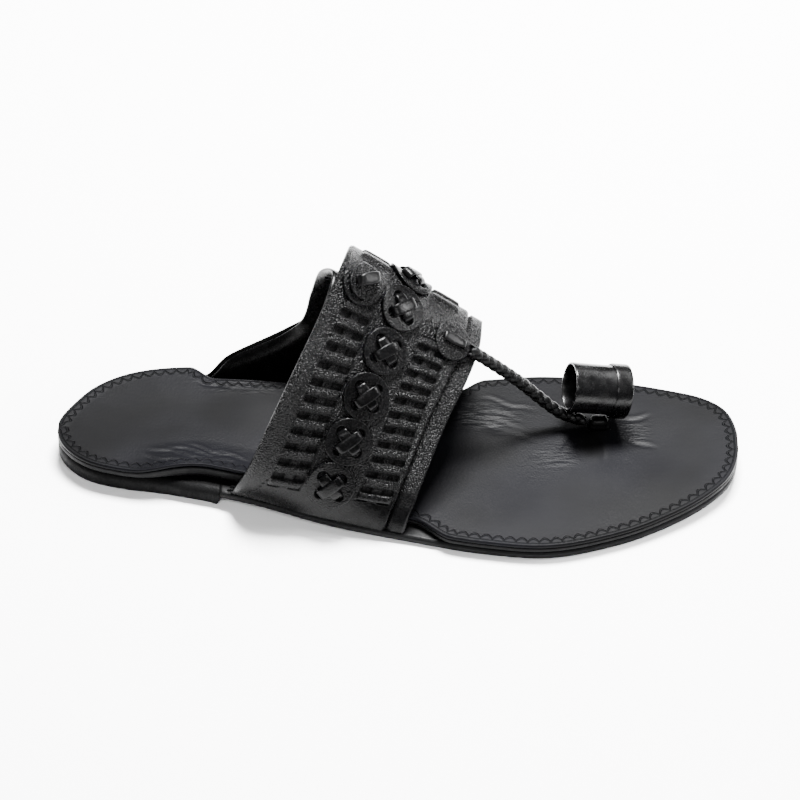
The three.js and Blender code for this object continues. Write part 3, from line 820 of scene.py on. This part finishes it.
def build_upper(grain):
    runs = np.linspace(-1, 1, 560)
    across = np.linspace(0, BAND_FRONT, 130)
    rear = arch_face(runs, np.zeros_like(runs))
    front = arch_face(runs, np.ones_like(runs))
    width = np.linalg.norm(front - rear, axis=1)
    columns, rows = np.meshgrid(runs, across, indexing="ij")
    rise, hollow_and_shade = weave(columns, rows, width[:, None])
    edge = np.minimum(rows, BAND_FRONT - rows) * width[:, None]
    rise = rise - 0.5 * (1 - smooth(0, 1.6, edge)) ** 2
    # The needle holes are only painted dark spots of shade in the band's colour.
    for run, place in NEEDLE_HOLES:
        far = np.hypot((columns - run) * 100, (row_place(columns, rows) - place) * width[:, None])
        hollow_and_shade = np.maximum(hollow_and_shade, 1 - smooth(0.35, 0.75, far))
    rings = wall_rings(runs, across, lambda r, a: rise, -BAND_THICK, place=row_place)
    blank = np.zeros((len(runs), rings.shape[1] - len(across)))
    pebble = smooth(-0.93, -0.72, columns)
    marks = {
        "hollow_and_shade": np.concatenate([hollow_and_shade, blank], axis=1),
        "pebble": np.concatenate([pebble, blank], axis=1),
    }
    add_piece("instep_band_grain", rings, grain, ["instep_band"], marks=marks)
    across = np.linspace(LINING_REAR, 1, 60)
    outer = -BAND_THICK - JOINT_GAP
    runs = np.linspace(-1, 1, 360)
    strip = wall_rings(
        runs,
        across,
        lambda r, a: outer + (BAND_THICK - 0.5) * smooth(0.9, 0.915, a),
        outer - LINING_THICK,
        sag_of,
    )
    shown = np.zeros(strip.shape[:2])
    shown[:, : len(across)] = smooth(0.85, 0.9, across) * smooth(-0.93, -0.72, runs)[:, None]
    marks = {"pebble": shown, "hollow_and_shade": 0 * shown}
    add_piece("instep_lining_leather", strip, grain, ["instep_lining"], marks=marks)


def disc_rings(radius, thick, holes=(), dome=0.25, around=120):
    """A round leather washer as rings from the middle of its top, over its rim, to the middle below."""
    top = np.linspace(0.02, radius - RIM_ROUND, 40)
    rim = np.linspace(0, np.pi / 2, 5)[1:]
    rim_radii = radius - RIM_ROUND + RIM_ROUND * np.sin(rim)
    rim_heights = thick - RIM_ROUND + RIM_ROUND * np.cos(rim)
    radii = np.concatenate([top, rim_radii, [radius, radius * 0.6, 0.02]])
    heights = np.concatenate([thick + 0 * top, rim_heights, [0, 0, 0]])
    turn = np.linspace(0, 2 * np.pi, around, endpoint=False)
    x = radii[:, None] * np.cos(turn)
    y = radii[:, None] * np.sin(turn)
    z = np.repeat(heights[:, None], around, axis=1)
    raised = heights[:, None] > 0
    hollow_and_shade = np.zeros_like(z)
    z = z + raised * dome * (1 - (radii[:, None] / radius) ** 2)
    # The holes are sunk into the disc, and the same mask is returned so that they are painted dark as
    # shade.
    for hx, hy in holes:
        far = np.hypot(x - hx, y - hy)
        hollow_and_shade = np.maximum(hollow_and_shade, raised * (1 - smooth(HOLE_RADIUS - 0.35, HOLE_RADIUS + 0.2, far)))
    z = z - hollow_and_shade * (thick - 0.2)
    return np.stack([x, y, z], axis=-1), hollow_and_shade


def strip_rings(angle, reach, half, crown, floor, thick, steps=36):
    """A soft flat thong bent over a disc from one hole to the opposite one."""
    share = np.linspace(-1, 1, steps)
    lift = floor + (crown - floor) * np.sqrt(np.clip(1 - np.abs(share) ** 5, 0, 1))
    turn = np.linspace(0, 2 * np.pi, 20, endpoint=False)
    bend = lambda wave: np.sign(wave) * np.abs(wave) ** 0.55
    aside = bend(np.cos(turn))[None, :] * (half - 0.5 * share[:, None] ** 2)
    z = lift[:, None] + thick * (0.5 + 0.5 * bend(np.sin(turn))[None, :])
    along = np.repeat((share * reach)[:, None], len(turn), axis=1)
    x = along * math.cos(angle) - aside * math.sin(angle)
    y = along * math.sin(angle) + aside * math.cos(angle)
    return np.stack([x, y, z], axis=-1)


def build_discs(grain):
    quarter = math.pi / 2
    turns = [quarter * (k + 0.5) for k in range(4)]
    holes = [(HOLE_REACH * math.cos(turn), HOLE_REACH * math.sin(turn)) for turn in turns]
    disc, hollow_and_shade = disc_rings(DISC_RADIUS, DISC_THICK, holes, dome=-0.4)
    under = strip_rings(quarter / 2, HOLE_REACH + 0.5, THONG_HALF, DISC_THICK + 0.3, 0.5, THONG_THICK)
    over = strip_rings(-quarter / 2, HOLE_REACH + 0.5, THONG_HALF, DISC_THICK + 1.1, 0.5, THONG_THICK)
    disc_marks = {"hollow_and_shade": hollow_and_shade, "pebble": np.full_like(hollow_and_shade, 0.3)}
    for name, run in DISC_RUNS.items():
        row = float(row_place(run, DISC_ROW))
        laid = drape(run, row, disc)
        add_piece(f"disc_{name}_leather", laid, grain, [f"disc_{name}"], marks=disc_marks)
        for layer, rings in (("under", under), ("over", over)):
            marks = {"hollow_and_shade": np.zeros(rings.shape[:2]), "pebble": np.full(rings.shape[:2], 0.12)}
            laid = drape(run, row, rings)
            add_piece(f"thong_{name}_{layer}", laid, grain, [f"thong_{name}"], marks=marks)


def lifted(rings, rise):
    return rings + np.array([0, 0, rise])


def build_crest(grain, thong):
    """The stacked rear disc with its knot, and the front disc with its bar."""
    base, flat = disc_rings(REAR_DISC_RADIUS, REAR_DISC_THICK)
    button, _ = disc_rings(BUTTON_RADIUS, CREST_DISC_THICK, dome=-0.4)
    knot = strip_rings(KNOT_TURN, KNOT_REACH, half=2.3, crown=2.2, floor=0.0, thick=2.3)
    front, _ = disc_rings(FRONT_DISC_RADIUS, CREST_DISC_THICK)
    bar = strip_rings(math.pi / 2, BAR_REACH, half=2.0, crown=0.6, floor=0.0, thick=1.4)
    marks = {"hollow_and_shade": flat, "pebble": flat + 0.6}
    discs = (
        ("rear_disc", REAR_PLACE, lifted(base, 0.3)),
        ("rear_button", REAR_PLACE, lifted(button, 2.1)),
        ("front_disc", FRONT_PLACE, lifted(front, 0.3)),
    )
    for node, place, rings in discs:
        add_piece(f"{node}_leather", drape(*place, rings), grain, [node], marks=marks)
    thongs = (("rear_knot", REAR_PLACE, lifted(knot, 3.7)), ("front_bar", FRONT_PLACE, lifted(bar, 2.0)))
    for node, place, rings in thongs:
        add_piece(f"{node}_thong", drape(*place, rings), thong, [node])


def cord_path(count):
    """Evenly spaced points of the cord's line from the front disc to the post."""
    reach = FRONT_DISC_RADIUS + CORD_RADIUS + JOINT_GAP - 2.0
    start = drape(*FRONT_PLACE, np.array([[0, reach, 0.6 * CORD_RADIUS]]))
    knots = np.concatenate([start, np.array(CORD_ROUTE, float)])
    length = np.concatenate([[0], np.cumsum(np.linalg.norm(np.diff(knots, axis=0), axis=1))])
    fine = np.linspace(0, length[-1], count)
    return np.stack([read_curve(length, knots[:, k], fine) for k in range(3)], axis=-1)


def tube_rings(path, half_wide, half_thick, across):
    """A flat oval strand along a path; across gives the direction of its wide side."""
    ahead = unit(np.gradient(path, axis=0))
    wide = unit(across - ahead * np.einsum("ij,ij->i", across, ahead)[:, None])
    thin = np.cross(ahead, wide)
    turn = np.linspace(0, 2 * np.pi, 14, endpoint=False)
    aside = half_wide * np.cos(turn)[None, :, None] * wide[:, None]
    above = half_thick * np.sin(turn)[None, :, None] * thin[:, None]
    return path[:, None] + aside + above


def build_cord(thong):
    """Four flat strands: two wind one way, two the other, passing over and under each other."""
    path = cord_path(320)
    ahead = unit(np.gradient(path, axis=0))
    side = unit(np.array([0, 1.0, 0]) - ahead * ahead[:, 1:2])
    up = np.cross(ahead, side)
    share = np.linspace(0, 1, len(path))
    for k in range(4):
        hand = 1 if k < 2 else -1
        angle = hand * 2 * np.pi * CORD_TURNS * share + math.pi * (k % 2)
        radius = STRAND_ORBIT + hand * STRAND_WEAVE * np.sin(2 * angle + math.pi / 2)
        out = np.cos(angle)[:, None] * side + np.sin(angle)[:, None] * up
        turned = hand * (-np.sin(angle)[:, None] * side + np.cos(angle)[:, None] * up)
        line = path + out * radius[:, None]
        strand = tube_rings(line, *STRAND_HALF, np.cross(out, ahead + 0.6 * turned))
        add_piece(f"toe_cord_strand_{k}", strand, thong, ["toe_cord"])
    core = tube_rings(path, CORE_RADIUS, CORE_RADIUS, side)
    add_piece("toe_cord_core", core, thong, ["toe_cord"])


def ring_frame():
    turn = Matrix.Rotation(RING_YAW, 3, "Z") @ Matrix.Rotation(RING_DROOP, 3, "Y")
    return np.array(turn)


def build_ring(polished, thong):
    """A strip of leather rolled once round the toe, its outer end lapped over on the near side."""
    frame = ring_frame()
    turn = np.linspace(LAP_END - 2 * math.pi - LAP_OVER, LAP_END, 200)
    outer = ROLL_START + ROLL_GROWTH * smooth(0.0, 1.0, np.linspace(0, 1, len(turn)))
    half = RING_LENGTH / 2
    corner = np.linspace(0, 2 * np.pi, 48, endpoint=False)
    squared = lambda wave, power: np.sign(wave) * np.abs(wave) ** power
    along = half * squared(np.cos(corner), 0.16)
    depth = ROLL_HALF_WALL * squared(np.sin(corner), 0.5)
    flare = 0.25 * np.abs(along / half) ** 3
    rings = []
    for angle, radius in zip(turn, outer):
        reach = radius - ROLL_HALF_WALL + depth + flare
        local = np.stack([along, reach * math.cos(angle), reach * math.sin(angle)], axis=-1)
        rings.append(local @ frame.T + np.array(RING_CENTRE))
    add_piece("toe_ring_roll", rings, polished, ["toe_ring"])
    trim = []
    for angle in np.linspace(0, 2 * math.pi, 120, endpoint=False):
        reach = RING_RADIUS + JOINT_GAP + TRIM_RISE * squared(np.sin(corner), 0.6)
        x = half + JOINT_GAP - TRIM_HALF + TRIM_HALF * squared(np.cos(corner), 0.3)
        local = np.stack([x, reach * math.cos(angle), reach * math.sin(angle)], axis=-1)
        trim.append(local @ frame.T + np.array(RING_CENTRE))
    add_piece("toe_ring_binding", trim, polished, ["toe_ring_trim"], closed=True)
    base = float(insole_top(station_of(POST_BASE[0])))
    around = np.linspace(0, 2 * np.pi, 32, endpoint=False)
    tab = []
    for height, grow in POST_STEPS:
        x = POST_BASE[0] + POST_HALF[0] * grow * squared(np.cos(around), 0.7)
        y = POST_BASE[1] + POST_HALF[1] * grow * squared(np.sin(around), 0.7)
        tab.append(np.stack([x, y, np.full_like(x, base + height)], axis=-1))
    add_piece("toe_post_tab", tab, thong, ["toe_post"])


def add_light(name, place, size, power):
    light = bpy.data.lights.new(name, "AREA")
    light.shape = "RECTANGLE"
    light.size, light.size_y = size
    light.energy = power
    lamp = bpy.data.objects.new(name, light)
    lamp.location = place
    lamp.rotation_euler = (Vector(LIGHT_AIM) - Vector(place)).to_track_quat("-Z", "Y").to_euler()
    bpy.context.scene.collection.objects.link(lamp)


def build_stage():
    mesh = bpy.data.meshes.new("floor")
    signs = ((-1, -1), (1, -1), (1, 1), (-1, 1))
    corners = [(x * FLOOR_HALF, y * FLOOR_HALF, 0) for x, y in signs]
    mesh.from_pydata(corners, [], [(0, 1, 2, 3)])
    mesh.materials.append(floor_paper())
    floor = bpy.data.objects.new("floor", mesh)
    bpy.context.scene.collection.objects.link(floor)
    world = bpy.data.worlds.new("studio")
    world.use_nodes = True
    background = world.node_tree.nodes["Background"]
    background.inputs["Color"].default_value = (1, 1, 1, 1)
    background.inputs["Strength"].default_value = SKY_STRENGTH
    bpy.context.scene.world = world
    for light in LIGHTS:
        add_light(*light)


def build_camera():
    """The photo's view: from the outer side, 42 degrees above the floor."""
    heading = math.radians(CAMERA_HEADING)
    fall = math.radians(CAMERA_FALL)
    roll = math.radians(CAMERA_ROLL)
    level_reach = math.cos(fall)
    ahead = Vector((math.sin(heading) * level_reach, math.cos(heading) * level_reach, -math.sin(fall)))
    data = bpy.data.cameras.new("camera")
    data.lens = CAMERA_LENS
    data.sensor_width = CAMERA_SENSOR
    data.shift_x, data.shift_y = CAMERA_SHIFT
    camera = bpy.data.objects.new("camera", data)
    level = ahead.to_track_quat("-Z", "Y").to_matrix()
    camera.matrix_world = (level @ Matrix.Rotation(roll, 3, "Z")).to_4x4()
    camera.location = Vector(CAMERA_AIM) - ahead * CAMERA_DISTANCE
    bpy.context.scene.collection.objects.link(camera)
    bpy.context.scene.camera = camera


def main():
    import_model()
    grain = pebbled_leather()
    thong = satin_leather("thong leather", 0.0006, 0.34, 0.2, 0.1)
    polished = satin_leather("polished leather", 0.0006, 0.26, 0.1, 0.16)
    build_sole(painted_edge(), insole_leather(), heel_rubber())
    build_upper(grain)
    build_discs(grain)
    build_crest(grain, thong)
    build_cord(thong)
    build_ring(polished, thong)
    build_stage()
    build_camera()


main()
